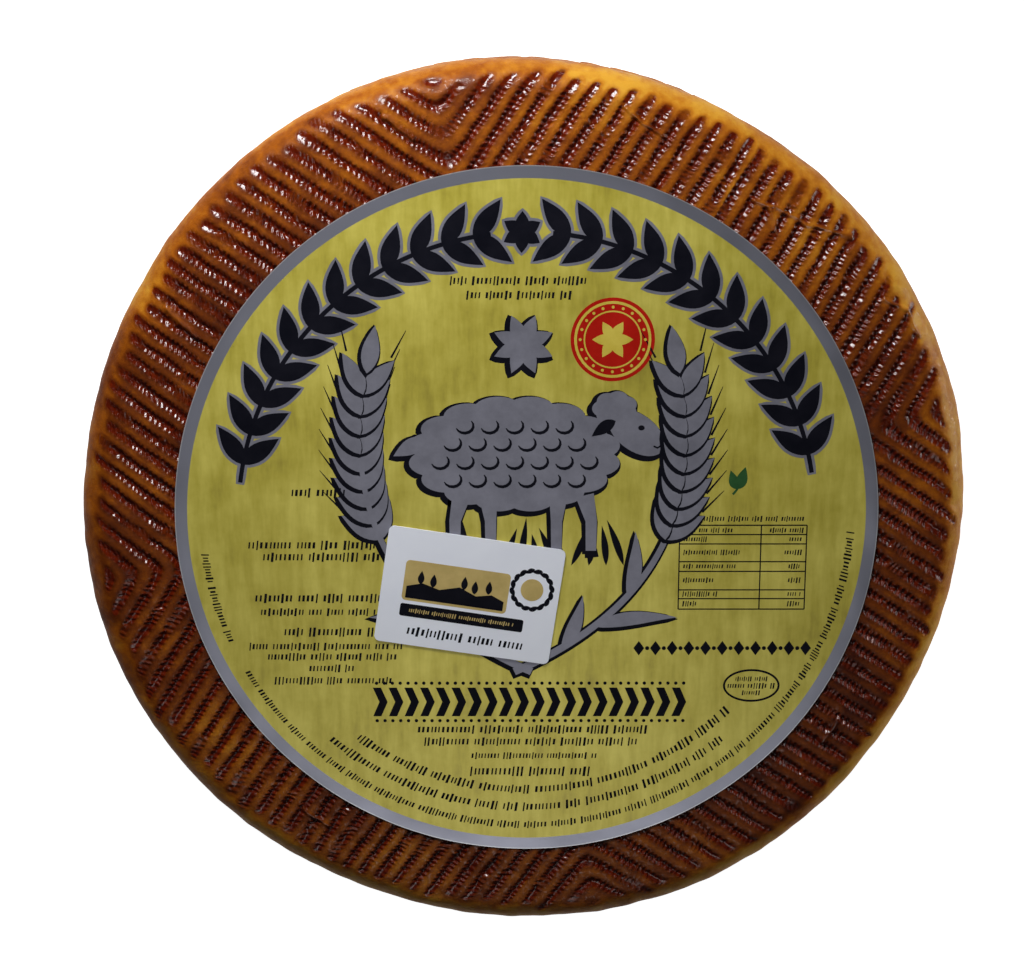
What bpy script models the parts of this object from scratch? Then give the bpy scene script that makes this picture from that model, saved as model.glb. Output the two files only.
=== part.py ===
"""A whole wheel of semi-cured sheep cheese, with its round label and a small plate-shaped tag.

Metres, +Z up. The origin is the middle of the wheel's underside, and +Y points to the top of the label.
The wheel is one solid: a turned drum with rounded shoulders, pressed slightly out of round, whose side
carries the zigzag of a plaited mould band and whose two faces carry four fans of straight mould grooves.
The label lies on the top face, and the tag lies on the label.
"""

import math

import bmesh
import bpy
import numpy as np
from mathutils import Vector

MM = 0.001
GAP = 0.3 * MM
WELD = 0.01 * MM
SHARP_EDGE = math.radians(40)

# Drum: radius and height of the wheel, and the round of its two shoulders
RADIUS = 101.4 * MM
HEIGHT = 92.0 * MM
SHOULDER = 7.0 * MM
SHOULDER_STEPS = 3
AXIS_X = -0.07 * MM
AXIS_Y = -0.22 * MM

# Out of round: lobes around the wheel, their height and the direction of the first crest in degrees
FOUR_LOBES = (4, 0.51 * MM, 20.0)
THREE_LOBES = (3, 0.23 * MM, -24.0)

# Side: strands of the plaited band round the wheel, and its rows, which lean one way and then the other
STRANDS = 96
ROWS = 6
ROW_HEIGHT = (HEIGHT - 2 * SHOULDER) / ROWS
LEAN = ROW_HEIGHT / RADIUS
STRAND_CREST = 0.4 * MM
STRAND_VALLEY = -0.9 * MM
EDGE_SHARE = 0.5

# Faces: the seams between the four fans, then each fan's axis line, the pitch of its grooves at the pitch
# radius, the shift of its ridges off the axis line in pitches, and how its lines close in outwards, per metre
SEAMS = (14.5, 101.4, 190.5, 282.1)
FAN_AXES = (58.25, 144.5, 235.75, 326.75)
FAN_PITCHES = (3.95 * MM, 3.97 * MM, 4.04 * MM, 4.10 * MM)
FAN_SHIFTS = (0.11, 0.03, -0.04, 0.53)
FAN_CLOSINGS = (0.8, 0.8, 0.4, 0.0)
PITCH_RADIUS = 88.0 * MM
SEAM_OVERLAP = 0.7 * MM
CENTRE_FLAT = 8.0 * MM
SHORTEST_GROOVE = 5.0 * MM

# Reach of the grooves from the wheel's axis: its mean, its swing round the wheel and where it is greatest
GROOVE_REACH = 96.8 * MM
REACH_SWING = 0.6 * MM
REACH_CREST = 80.0

# One groove: its width at the mouth and on the floor, its depth, the slope of its ends and its unevenness
MOUTH = 2.3 * MM
FLOOR = 1.1 * MM
DEPTH = 1.4 * MM
END_SLOPE = 1.2 * MM
ABOVE = 0.7 * MM
UNEVEN_DEPTH = 0.2 * MM
UNEVEN_END = 0.4 * MM
SEED = 7

# Label: a flat disc, a little off the wheel's centre; the grooves start just under its edge
LABEL_RADIUS = 80.0 * MM
LABEL_THICKNESS = 0.5 * MM
LABEL_X = AXIS_X + 0.78 * MM
LABEL_Y = AXIS_Y - 1.10 * MM
LABEL_SIDES = 128
UNDER_LABEL = 77.0 * MM

# Tag: a small plate with rounded corners, turned a little clockwise
TAG_WIDTH = 40.7 * MM
TAG_DEPTH = 27.6 * MM
TAG_THICKNESS = 0.5 * MM
TAG_CORNER = 1.3 * MM
TAG_CORNER_STEPS = 4
TAG_X = AXIS_X - 12.3 * MM
TAG_Y = AXIS_Y - 18.5 * MM
TAG_TURN = math.radians(-8.5)


def clear_scene():
    """Removes every object of the scene."""
    for thing in list(bpy.data.objects):
        bpy.data.objects.remove(thing)


def new_collection(name):
    """A collection linked to the scene."""
    collection = bpy.data.collections.new(name)
    bpy.context.scene.collection.children.link(collection)
    return collection


def new_object(name, mesh, collection):
    """An object for a mesh, in a collection."""
    thing = bpy.data.objects.new(name, mesh)
    collection.objects.link(thing)
    return thing


def paint(thing, name, colour, roughness, metallic=0.0):
    """Gives an object its own Principled material."""
    material = bpy.data.materials.new(name)
    material.use_nodes = True
    shader = material.node_tree.nodes["Principled BSDF"]
    shader.inputs["Base Color"].default_value = (*colour, 1.0)
    shader.inputs["Roughness"].default_value = roughness
    shader.inputs["Metallic"].default_value = metallic
    thing.data.materials.append(material)


def drum_profile():
    """Points (radius, height) down the drum's outer side: top shoulder, row edges, bottom shoulder."""
    turns = [0.5 * math.pi * step / SHOULDER_STEPS for step in range(SHOULDER_STEPS + 1)]
    shoulder = [(RADIUS - SHOULDER * (1 - math.sin(t)), SHOULDER * (1 - math.cos(t))) for t in turns]
    top = [(radius, HEIGHT - drop) for radius, drop in shoulder]
    rows = [(RADIUS, HEIGHT - SHOULDER - row * ROW_HEIGHT) for row in range(1, ROWS)]
    bottom = [(radius, drop) for radius, drop in reversed(shoulder)]
    return top + rows + bottom


def turn_profile(profile, steps, collection):
    """The mesh that a Screw modifier makes of a profile, open at both ends."""
    mesh = bpy.data.meshes.new("profile")
    edges = [(i, i + 1) for i in range(len(profile) - 1)]
    mesh.from_pydata([(radius, 0, height) for radius, height in profile], edges, [])
    thing = new_object("profile", mesh, collection)
    screw = thing.modifiers.new("turn", "SCREW")
    screw.steps = steps
    screw.render_steps = steps
    screw.use_merge_vertices = True
    screw.merge_threshold = WELD
    depsgraph = bpy.context.evaluated_depsgraph_get()
    turned = bpy.data.meshes.new_from_object(thing.evaluated_get(depsgraph))
    bpy.data.objects.remove(thing)
    return turned


def out_of_round(angle):
    """How far the outline stands off its circle at an angle: the sum of two cosine lobes."""
    total = 0.0
    for count, height, first in (FOUR_LOBES, THREE_LOBES):
        total += height * math.cos(count * (angle - math.radians(first)))
    return total


def plait(row, strand):
    """Turn and lift of a point of the side: odd row edges lean on, strands alternate crest and valley."""
    turn = LEAN if row % 2 else 0.0
    lift = STRAND_VALLEY if strand % 2 else STRAND_CREST
    share = EDGE_SHARE if row in (0, ROWS) else 1.0
    return turn, lift * share


def press_side(mesh, steps):
    """Moves the turned drum's points out of round, and those of its side into the zigzag relief."""
    for vertex in mesh.vertices:
        radius = math.hypot(vertex.co.x, vertex.co.y)
        angle = math.atan2(vertex.co.y, vertex.co.x)
        if radius > RADIUS - WELD:
            row = round((vertex.co.z - SHOULDER) / ROW_HEIGHT)
            strand = round(angle / (2 * math.pi) * steps)
            turn, lift = plait(row, strand)
            angle += turn
            radius += lift
        radius += out_of_round(angle)
        vertex.co.x = AXIS_X + radius * math.cos(angle)
        vertex.co.y = AXIS_Y + radius * math.sin(angle)


def close_drum(mesh):
    """Fills the drum's two round openings with one flat face each."""
    shape = bmesh.new()
    shape.from_mesh(mesh)
    bmesh.ops.holes_fill(shape, edges=shape.edges, sides=0)
    bmesh.ops.recalc_face_normals(shape, faces=shape.faces)
    shape.to_mesh(mesh)
    shape.free()


def fan_grooves(fan, innermost, draw):
    """The grooves of one fan as (start, end), two points (along, across) off the fan's axis line.

    Grooves lie half a pitch off the ridges. Their lines close in a little outwards: across is
    lean * (1 - closing * along). A groove starts on the seam on its side and ends on the circle of reach.
    """
    grooves = []
    closing = FAN_CLOSINGS[fan]
    most = int(RADIUS / FAN_PITCHES[fan])
    for number in range(-most, most):
        offset = (number + 0.5 + FAN_SHIFTS[fan]) * FAN_PITCHES[fan]
        lean = offset / (1 - closing * PITCH_RADIUS)
        seam = SEAMS[(fan + 1) % len(SEAMS)] if offset > 0 else SEAMS[fan]
        away = math.radians(seam - FAN_AXES[fan])
        tip = lean / (math.sin(away) + lean * closing * math.cos(away))
        direction = FAN_AXES[fan] + math.degrees(math.asin(offset / RADIUS))
        swing = REACH_SWING * math.cos(math.radians(direction - REACH_CREST))
        reach = GROOVE_REACH + swing + draw.uniform(-UNEVEN_END, UNEVEN_END)
        if abs(offset) >= reach:
            continue
        hidden = math.sqrt(max(innermost**2 - offset**2, 0.0))
        start = max(tip * math.cos(away) - SEAM_OVERLAP, hidden)
        end = math.sqrt(reach**2 - offset**2)
        if end - start > SHORTEST_GROOVE:
            grooves.append(((start, lean * (1 - closing * start)), (end, lean * (1 - closing * end))))
    return grooves


def add_groove(shape, fan, groove, depth, face):
    """Adds one groove's cutter: a bar wider at the mouth than on the floor, with a sloping outer end."""
    start, end = groove
    axis = math.radians(FAN_AXES[fan])
    direction = Vector((math.cos(axis), math.sin(axis), 0))
    side = Vector((-direction.y, direction.x, 0))
    surface = HEIGHT if face > 0 else 0.0
    slope = (MOUTH - FLOOR) / 2 / depth
    made = bmesh.ops.create_cube(shape, size=2.0)
    for vertex in made["verts"]:
        level = ABOVE if vertex.co.z > 0 else -depth
        half = FLOOR / 2 + slope * (level + depth)
        inset = END_SLOPE * (1 - (level + depth) / depth) if vertex.co.x > 0 else 0.0
        along, across = end if vertex.co.x > 0 else start
        place = direction * (along - inset) + side * (across + half * vertex.co.y)
        vertex.co = Vector((AXIS_X + place.x, AXIS_Y + place.y, surface + face * level))


def groove_cutter(name, fans, collection):
    """One cutter object with the grooves of two opposite fans, for the top face and the underside."""
    draw = np.random.default_rng(SEED + fans[0])
    shape = bmesh.new()
    for fan in fans:
        for face, innermost in ((1, UNDER_LABEL), (-1, CENTRE_FLAT)):
            for groove in fan_grooves(fan, innermost, draw):
                depth = DEPTH + draw.uniform(-UNEVEN_DEPTH, UNEVEN_DEPTH)
                add_groove(shape, fan, groove, depth, face)
    bmesh.ops.recalc_face_normals(shape, faces=shape.faces)
    mesh = bpy.data.meshes.new(name)
    shape.to_mesh(mesh)
    shape.free()
    cutter = new_object(name, mesh, collection)
    cutter.hide_render = True
    cutter.display_type = "WIRE"
    return cutter


def make_wheel(parts, cutters):
    """The cheese itself: the turned drum, its zigzag side, and the grooves cut into both faces."""
    steps = 2 * STRANDS
    mesh = turn_profile(drum_profile(), steps, cutters)
    mesh.name = "cheese_wheel"
    press_side(mesh, steps)
    close_drum(mesh)
    wheel = new_object("cheese_wheel", mesh, parts)
    for name, fans in (("first_fans", (0, 2)), ("second_fans", (1, 3))):
        cut = wheel.modifiers.new(name, "BOOLEAN")
        cut.operation = "DIFFERENCE"
        cut.object = groove_cutter(name, fans, cutters)
    mesh.shade_smooth()
    mesh.set_sharp_from_angle(angle=SHARP_EDGE)
    paint(wheel, "coated_rind", (0.36, 0.14, 0.02), 0.3)
    return wheel


def make_label(parts):
    """The round label, a thin disc a hair above the ridges it is stuck to."""
    shape = bmesh.new()
    bmesh.ops.create_cone(
        shape,
        cap_ends=True,
        segments=LABEL_SIDES,
        radius1=LABEL_RADIUS,
        radius2=LABEL_RADIUS,
        depth=LABEL_THICKNESS,
    )
    mesh = bpy.data.meshes.new("round_label")
    shape.to_mesh(mesh)
    shape.free()
    label = new_object("round_label", mesh, parts)
    label.location = (LABEL_X, LABEL_Y, HEIGHT + GAP + LABEL_THICKNESS / 2)
    paint(label, "gold_paper", (0.52, 0.45, 0.09), 0.35, 0.3)
    return label


def make_tag(parts):
    """The small white tag, a thin plate with its four upright edges rounded."""
    shape = bmesh.new()
    bmesh.ops.create_cube(shape, size=1.0)
    for vertex in shape.verts:
        vertex.co = Vector((vertex.co.x * TAG_WIDTH, vertex.co.y * TAG_DEPTH, vertex.co.z * TAG_THICKNESS))
    upright = [edge for edge in shape.edges if edge.verts[0].co.z * edge.verts[1].co.z < 0]
    bmesh.ops.bevel(
        shape,
        geom=upright,
        offset=TAG_CORNER,
        segments=TAG_CORNER_STEPS,
        profile=0.5,
        affect="EDGES",
    )
    mesh = bpy.data.meshes.new("seal_tag")
    shape.to_mesh(mesh)
    shape.free()
    tag = new_object("seal_tag", mesh, parts)
    tag.location = (TAG_X, TAG_Y, HEIGHT + 2 * GAP + LABEL_THICKNESS + TAG_THICKNESS / 2)
    tag.rotation_euler = (0, 0, TAG_TURN)
    paint(tag, "white_plastic", (0.6, 0.6, 0.68), 0.4)
    return tag


clear_scene()
parts_collection = new_collection("sheep_cheese")
cutters_collection = new_collection("cutters")
make_wheel(parts_collection, cutters_collection)
make_label(parts_collection)
make_tag(parts_collection)
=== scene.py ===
"""The looks of a whole wheel of semi-cured sheep cheese: its printed, coated rind, its label and its tag."""

import math

import bpy
import numpy as np
from mathutils import Matrix, Vector


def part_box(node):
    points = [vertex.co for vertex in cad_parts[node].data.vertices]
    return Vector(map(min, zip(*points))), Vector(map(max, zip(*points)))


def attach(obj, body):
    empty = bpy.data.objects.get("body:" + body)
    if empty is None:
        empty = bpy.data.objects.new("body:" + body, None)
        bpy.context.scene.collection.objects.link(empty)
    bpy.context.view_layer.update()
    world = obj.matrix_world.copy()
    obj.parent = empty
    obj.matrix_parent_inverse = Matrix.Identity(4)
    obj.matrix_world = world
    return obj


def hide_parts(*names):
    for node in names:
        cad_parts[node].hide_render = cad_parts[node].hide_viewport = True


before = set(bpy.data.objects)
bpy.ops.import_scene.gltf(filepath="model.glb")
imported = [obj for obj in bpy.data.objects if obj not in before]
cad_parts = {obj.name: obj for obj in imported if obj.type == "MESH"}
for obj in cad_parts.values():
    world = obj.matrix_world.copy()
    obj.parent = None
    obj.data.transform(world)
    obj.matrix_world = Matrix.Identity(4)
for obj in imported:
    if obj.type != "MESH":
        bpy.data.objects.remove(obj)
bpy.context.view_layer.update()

# The cheese: a drum of pressed curd, a little out of round, under a clear brown coat that has run in places.
# The mould has left four fans of ribbed grooves on each face, which meet in chevrons on four seams, and the
# coat has stained them dark. Both faces are made in quarters, cut along the seams.
MM = 0.001
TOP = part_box("cheese_wheel")[1].z
AXIS_X = -0.07 * MM
AXIS_Y = -0.22 * MM
RADIUS = 101.4 * MM
SHOULDER = 7.0 * MM
FLAT = RADIUS - SHOULDER
LOBES = ((4, 0.51 * MM, 20.0), (3, 0.23 * MM, -24.0))
SEAMS = np.array([14.5, 101.4, 190.5, 282.1])
FAN_AXES = np.array([58.25, 144.5, 235.75, 326.75])
FAN_CLOSING = np.array([0.8, 0.8, 0.4, 0.0])
FAN_PITCHES = np.array([3.95, 3.97, 4.04, 4.10]) * MM
PITCH_PLACE = 88.0 * MM
FAN_CRESTS = np.array([0.11, 0.03, -0.04, 0.53])
SEAM_LAPS = np.array([0.0, 0.0, 0.3, 1.0])
SEAM_SLIPS = np.array([0.16, -0.05, -0.35, 0.01])
SEAM_ROUNDING = 0.6
GROOVE_STEP = 4.0 * MM
GROOVE_REACH = 97.8 * MM
REACH_SWING = 1.3 * MM
REACH_CREST = 80.0
GROOVE_HALF = 1.20 * MM
GROOVE_DEPTH = 0.74 * MM
RIB_STEP = 1.35 * MM
RIB_HEIGHT = 0.24 * MM
RIB_SLANTS = np.array([0.05, 0.70, 0.35, 0.20])
CROWN = 0.05 * MM
EDGE_SHARE = 0.06
CENTRE_FLAT = 7.0 * MM
WAX_RUNS = (
    (50.5, 71.5, 57.0, 69.5), (57.0, 69.5, 62.0, 66.5), (62.0, 66.5, 72.5, 63.5), (54.0, 70.5, 55.5, 64.5),
    (80.0, 49.5, 85.5, 47.0), (85.5, 47.0, 88.0, 41.0), (-79.5, 47.5, -73.0, 41.0),
    (-30.0, 88.5, -24.0, 84.5), (22.0, 91.0, 30.0, 85.5), (-52.0, -71.0, -46.0, -75.5),
    (70.0, -55.0, 74.0, -49.0),
)
WAX_WIDTH = 0.5 * MM
WAX_HEIGHT = 0.36 * MM
BROWN = 0.13
# The brown's swings round the wheel, each (count, height, first crest): a two-lobe swing, and a one-lobe
# painted shade that darkens the lower half, away from the key light.
BROWN_AND_SHADE_SWINGS = ((2, -0.28, 60.0), (1, -0.12, 75.0))
HALO_BROWN = 0.38
# Angle in degrees round which a stretch of the shoulder is darkened with painted shade.
SHADED_SHOULDER_ANGLE = 160.0
LATTICE = 256
STRANDS = 96
ROWS = 6
ROW_HEIGHT = (TOP - 2 * SHOULDER) / ROWS
LEAN = ROW_HEIGHT / RADIUS
STRAND_CREST = 0.40 * MM
STRAND_VALLEY = -0.90 * MM
JOINT_DEPTH = 0.35 * MM
SIDE_RIB_STEP = 1.3 * MM
SIDE_COAT = 0.25


def rise(low, high, value):
    """Smooth step: 0 up to low, 1 from high, and t * t * (3 - 2 * t) in between."""
    t = np.clip((value - low) / (high - low), 0.0, 1.0)
    return t * t * (3 - 2 * t)


def wander(x, y, size, seed):
    """Smooth random field from -1 to 1: random values on a lattice `size` apart, blended by smooth steps."""
    values = np.random.default_rng(seed).uniform(-1, 1, (LATTICE, LATTICE))
    column = np.floor(x / size)
    row = np.floor(y / size)
    s = rise(0, 1, x / size - column)
    t = rise(0, 1, y / size - row)
    c0 = column.astype(int) % LATTICE
    r0 = row.astype(int) % LATTICE
    c1 = (c0 + 1) % LATTICE
    r1 = (r0 + 1) % LATTICE
    near = values[c0, r0] * (1 - s) + values[c1, r0] * s
    far = values[c0, r1] * (1 - s) + values[c1, r1] * s
    return near * (1 - t) + far * t


def lobed(angle, lobes):
    """The sum of cosine lobes round the wheel, each a (count, height, first crest in degrees)."""
    return sum(height * np.cos(count * (angle - math.radians(first))) for count, height, first in lobes)


def lumps(x, y, drop):
    """Low lumps of the shoulder and the side, at a place and its depth under the nearer face."""
    return 0.16 * MM * wander(x + drop, y - drop, 8 * MM, 10) + 0.10 * MM * wander(x, y, 3.5 * MM, 11)


def side_print(angle, height):
    """The plaited band's print at an angle and height: (lift, groove share, rib turns).

    Each row of the band leans on by LEAN and back again, so a strand's crest follows
    angle = strand * 2 pi / STRANDS + lean; across it the lift is a smooth step of the cosine between crests.
    """
    level = np.clip((height - SHOULDER) / ROW_HEIGHT, 0, ROWS)
    row = np.floor(level)
    share = level - row
    lean = LEAN * np.where(row % 2 == 0, share, 1 - share)
    x = RADIUS * np.cos(angle) + 0.6 * height
    y = RADIUS * np.sin(angle) - 0.8 * height
    strand = (angle - lean) * STRANDS / (2 * math.pi) + 0.05 * wander(x, y, 9 * MM, 41)
    wave = np.cos(2 * math.pi * strand)
    crest = rise(-0.85 + 0.15 * wander(x, y, 5 * MM, 42), 0.35, wave)
    joint = 1 - rise(0.0, 0.09, np.minimum(share, 1 - share))
    groove = 1 - crest
    lift = STRAND_VALLEY + (STRAND_CREST - STRAND_VALLEY) * crest - JOINT_DEPTH * joint * crest
    lift += 0.10 * MM * wander(x, y, 2.6 * MM, 43) + 0.16 * MM * wander(x, y, 13 * MM, 44)
    ribs = height * math.sqrt(2) / SIDE_RIB_STEP + 0.25 * wander(x, y, 7 * MM, 45)
    return lift, np.maximum(groove, 0.55 * joint), ribs


def fan_lines(x, y, fan):
    """Where a point lies in a fan: (lines out from its axis line, length along its grooves).

    The lines count across * (1 - closing * place) / (1 - closing * along) / pitch, less the first crest:
    each fan has its own pitch at PITCH_PLACE, and its lines close up on the way out.
    """
    way = np.radians(FAN_AXES[fan])
    along = x * np.cos(way) + y * np.sin(way)
    across = y * np.cos(way) - x * np.sin(way)
    closing = FAN_CLOSING[fan]
    spread = (1 - closing * PITCH_PLACE) / (1 - closing * along)
    return across * spread / FAN_PITCHES[fan] - FAN_CRESTS[fan], along


def face_print(x, y):
    """The mould's print on a flat face, from the wheel's axis: (height, groove share, stain, rib turns).

    Ridges lie where the count of lines is whole and grooves between them. At a seam the counts of its two
    fans meet in a smooth minimum, which rounds the chevrons: mean - sqrt(difference ^ 2 + rounding ^ 2) / 2.
    A groove is a bowl, 1 - (distance / half width) ^ 1.2 deep, rounded and shallow at its outer end, with
    stretches that the coat has filled. Its ribs across are rounded on top and meet in creases, and the stain
    reaches 1.75 half widths out.
    """
    angle = np.degrees(np.arctan2(y, x)) % 360
    seam = np.searchsorted(FAN_AXES, angle) % 4
    first, first_along = fan_lines(x, y, (seam + 3) % 4)
    second, second_along = fan_lines(x, y, seam)
    second = -second - SEAM_LAPS[seam]
    apart = first - second
    near = np.exp(-((apart / 8) ** 2))
    first = first - 0.5 * SEAM_SLIPS[seam] * near
    second = second + 0.5 * SEAM_SLIPS[seam] * near
    apart = first - second
    lines = 0.5 * (first + second - np.sqrt(apart**2 + SEAM_ROUNDING**2)) + 0.10
    lines = lines + 0.06 * wander(x, y, 12 * MM, 1) + 0.035 * wander(x, y, 4 * MM, 2)
    number = np.floor(lines)
    off = (lines - number - 0.5) * GROOVE_STEP
    groove_id = (seam * 64 + number + 8).astype(int) % 256
    table = np.random.default_rng(3).uniform(-1, 1, (5, 256))
    along = np.where(apart < 0, first_along, second_along)
    fan = np.where(apart < 0, (seam + 3) % 4, seam)
    ribs = (along - RIB_SLANTS[fan] * off * np.sign(apart)) / RIB_STEP + table[0, groove_id]
    ribs = ribs + 0.60 * wander(x, y, 5 * MM, 4) + 0.24 * wander(x, y, 1.6 * MM, 12)
    corner = rise(0.1, 0.8, np.abs(apart))
    scallop = (2 * np.abs(np.cos(math.pi * ribs)) - 1) * corner
    half = GROOVE_HALF * (1 + 0.10 * table[1, groove_id] + 0.16 * wander(x, y, 8 * MM, 5))
    half = half + 0.07 * MM * scallop
    half = half + 0.14 * MM * wander(x, y, 3.1 * MM, 17) + 0.10 * MM * wander(x, y, 1.3 * MM, 13)
    radius = np.hypot(x, y)
    reach = GROOVE_REACH + REACH_SWING * np.cos(np.radians(angle - REACH_CREST))
    reach = reach + 1.1 * MM * table[2, groove_id] + 0.7 * MM * wander(x, y, 4 * MM, 14)
    beyond = np.maximum(radius - reach + half, 0)
    bowl = np.maximum(1 - ((off**2 + beyond**2) / half**2) ** 0.60, 0)
    bowl = bowl * rise(CENTRE_FLAT, CENTRE_FLAT + 2 * MM, radius)
    filled = rise(0.30, 0.72, wander(x, y, 4.5 * MM, 6)) + 0.7 * rise(0.35, 0.80, wander(x, y, 2.0 * MM, 15))
    filled = np.minimum(filled, 1.0)
    inward = rise(1 * MM, 7 * MM, reach - radius)
    depth = GROOVE_DEPTH * (1 + 0.12 * table[3, groove_id] + 0.22 * wander(x, y, 7 * MM, 7))
    depth = depth * (1 - 0.7 * filled) * (0.45 + 0.55 * inward)
    wall = rise(0.0, 0.25, bowl) * (1 - 0.6 * rise(0.55, 0.95, bowl)) * (0.15 + 0.85 * inward)
    rib_height = RIB_HEIGHT * (0.95 + 0.6 * wander(x, y, 3 * MM, 16)) * wall
    height = -depth * bowl + rib_height * scallop * (1 - 0.5 * filled)
    height -= CROWN * np.cos(2 * math.pi * (lines - number - 0.5)) * rise(0, 2 * MM, reach - radius)
    height += 0.14 * MM * wander(x, y, 11 * MM, 8) + 0.10 * MM * wander(x, y, 2.6 * MM, 9)
    height += 0.07 * MM * wander(x, y, 0.55 * MM, 18) * rise(0.0, 0.3, bowl)
    halo = 1 - rise(0.8 * half, 1.75 * half, np.hypot(off, beyond))
    return height, rise(0.0, 0.55, bowl) * (1 - 0.5 * filled), halo, ribs


def wax_runs(x, y):
    """Share of a run of wax at each point: exp(-(distance / width) ^ 2) from the nearest short line."""
    share = np.zeros_like(x)
    bent_x = x + 0.5 * MM * wander(x, y, 2.4 * MM, 51)
    bent_y = y + 0.5 * MM * wander(x, y, 2.4 * MM, 52)
    for x0, y0, x1, y1 in np.array(WAX_RUNS) * MM:
        length = math.hypot(x1 - x0, y1 - y0)
        way_x = (x1 - x0) / length
        way_y = (y1 - y0) / length
        along = np.clip((bent_x - x0) * way_x + (bent_y - y0) * way_y, 0, length)
        gap = np.hypot(bent_x - x0 - along * way_x, bent_y - y0 - along * way_y)
        share = np.maximum(share, np.exp(-((gap / WAX_WIDTH) ** 2)))
    return share


def drum_face(stations, angles, upper):
    """Grid of points over a face and its shoulder, with groove shares, rib turns, coat and wax runs.

    A station is a length along the drum's outline from its axis: flat for FLAT, then round the shoulder's
    quarter circle. The print moves a point along the outline's normal. The coat is brown on the flat and
    thins out over the edge. Its brown swings round the wheel, and painted shade darkens the lower half of
    the ring, away from the key light, and one stretch of the shoulder on the left.
    """
    station, angle = np.meshgrid(stations, angles, indexing="ij")
    turn = np.clip((station - FLAT) / SHOULDER, 0, 0.5 * math.pi)
    radius = np.minimum(station, FLAT) + SHOULDER * np.sin(turn)
    drop = SHOULDER * (1 - np.cos(turn))
    x = radius * np.cos(angle)
    y = radius * np.sin(angle)
    flat_x = np.minimum(station, RADIUS) * np.cos(angle)
    flat_y = np.minimum(station, RADIUS) * np.sin(angle)
    height, groove, halo, ribs = face_print(flat_x, flat_y)
    run = wax_runs(flat_x, flat_y) if upper else np.zeros_like(height)
    height = height * (1 - 0.9 * run) + WAX_HEIGHT * run
    groove = groove * (1 - 0.7 * run)
    rim = TOP - SHOULDER if upper else SHOULDER
    lift, side_groove, side_ribs = side_print(angle, np.full_like(angle, rim))
    side_share = rise(0.45, 1.0, turn / (0.5 * math.pi))
    height = height * (1 - side_share) + lift * EDGE_SHARE * side_share
    height = height + lumps(x, y, drop) * rise(0.0, 0.5, turn)
    radius = radius + lobed(angle, LOBES) * rise(80 * MM, FLAT, station)
    radius = radius + height * np.sin(turn)
    level = drop - height * np.cos(turn)
    z = TOP - level if upper else np.maximum(level, 0.0)
    points = np.stack([AXIS_X + radius * np.cos(angle), AXIS_Y + radius * np.sin(angle), z], axis=-1)
    groove = groove * (1 - side_share) + side_groove * EDGE_SHARE * side_share
    edge = rise(FLAT + 0.5 * MM, FLAT + 4 * MM, station)
    coat = 1 - 0.7 * edge - 0.3 * rise(79 * MM, 90 * MM, station)
    # The coat's brown with its swings; the one-lobe swing is painted shade that darkens the lower half of the
    # ring, away from the key light.
    coat = coat + (BROWN + lobed(angle, BROWN_AND_SHADE_SWINGS)) * (1 - edge)
    # Painted shade: one stretch of the shoulder, on the left, is made browner.
    shaded_shoulder = rise(0.1, 0.9, np.cos(angle - math.radians(SHADED_SHOULDER_ANGLE)))
    coat = coat + 0.7 * shaded_shoulder * edge * (1 - rise(0.9, 1.5, turn))
    coat = coat + SIDE_COAT * rise(1.0, 1.5, turn) + HALO_BROWN * halo * (1 - side_share)
    run = run * (1 - 0.5 * edge)
    return points, groove, np.where(turn > 0.8, side_ribs, ribs), coat, run


def make_mesh(name, points, smooth_faces, flat_faces):
    """A mesh from points and lists of face arrays with one face a row; the first list is shaded smooth."""
    groups = smooth_faces + flat_faces
    corners = np.concatenate([group.ravel() for group in groups])
    sizes = np.concatenate([np.full(len(group), group.shape[1]) for group in groups])
    starts = np.concatenate([[0], np.cumsum(sizes)[:-1]])
    smooth = np.arange(len(sizes)) < sum(len(group) for group in smooth_faces)
    mesh = bpy.data.meshes.new(name)
    mesh.vertices.add(len(points))
    mesh.vertices.foreach_set("co", points.astype(np.float32).ravel())
    mesh.loops.add(len(corners))
    mesh.loops.foreach_set("vertex_index", corners.astype(np.int32))
    mesh.polygons.add(len(sizes))
    mesh.polygons.foreach_set("loop_start", starts.astype(np.int32))
    mesh.polygons.foreach_set("use_smooth", smooth)
    mesh.update(calc_edges=True)
    edges = np.empty(len(corners), dtype=np.int32)
    mesh.loops.foreach_get("edge_index", edges)
    sharp = np.zeros(len(mesh.edges), dtype=bool)
    sharp[edges[np.repeat(~smooth, sizes)]] = True
    mesh.attributes.new("sharp_edge", "BOOLEAN", "EDGE").data.foreach_set("value", sharp)
    return mesh


def put(name, data):
    """Puts a new object in the scene."""
    thing = bpy.data.objects.new(name, data)
    bpy.context.scene.collection.objects.link(thing)
    return thing


def add_piece(name, mesh, material, slot, *nodes):
    """Puts a mesh in the scene with its material, on the one body, for the nodes it replaces; slot is not
    used.
    """
    piece = put(name, mesh)
    mesh.materials.append(material)
    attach(piece, "root")
    if nodes:
        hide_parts(*nodes)
    return piece


def store(mesh, name, values):
    """Keeps one number a vertex under a name, for the material to read."""
    kept = mesh.attributes.new(name, "FLOAT", "POINT")
    kept.data.foreach_set("value", values.astype(np.float32).ravel())


def grid_quads(rows, columns, first, wrap):
    """Quads of a grid of rows x columns vertices numbered from first; wrap joins the last column on."""
    row = np.arange(rows - 1)[:, None]
    column = np.arange(columns if wrap else columns - 1)[None, :]
    a = first + row * columns + column
    b = first + row * columns + (column + 1) % columns
    return np.stack([a, b, b + columns, a + columns], axis=-1).reshape(-1, 4)


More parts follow.
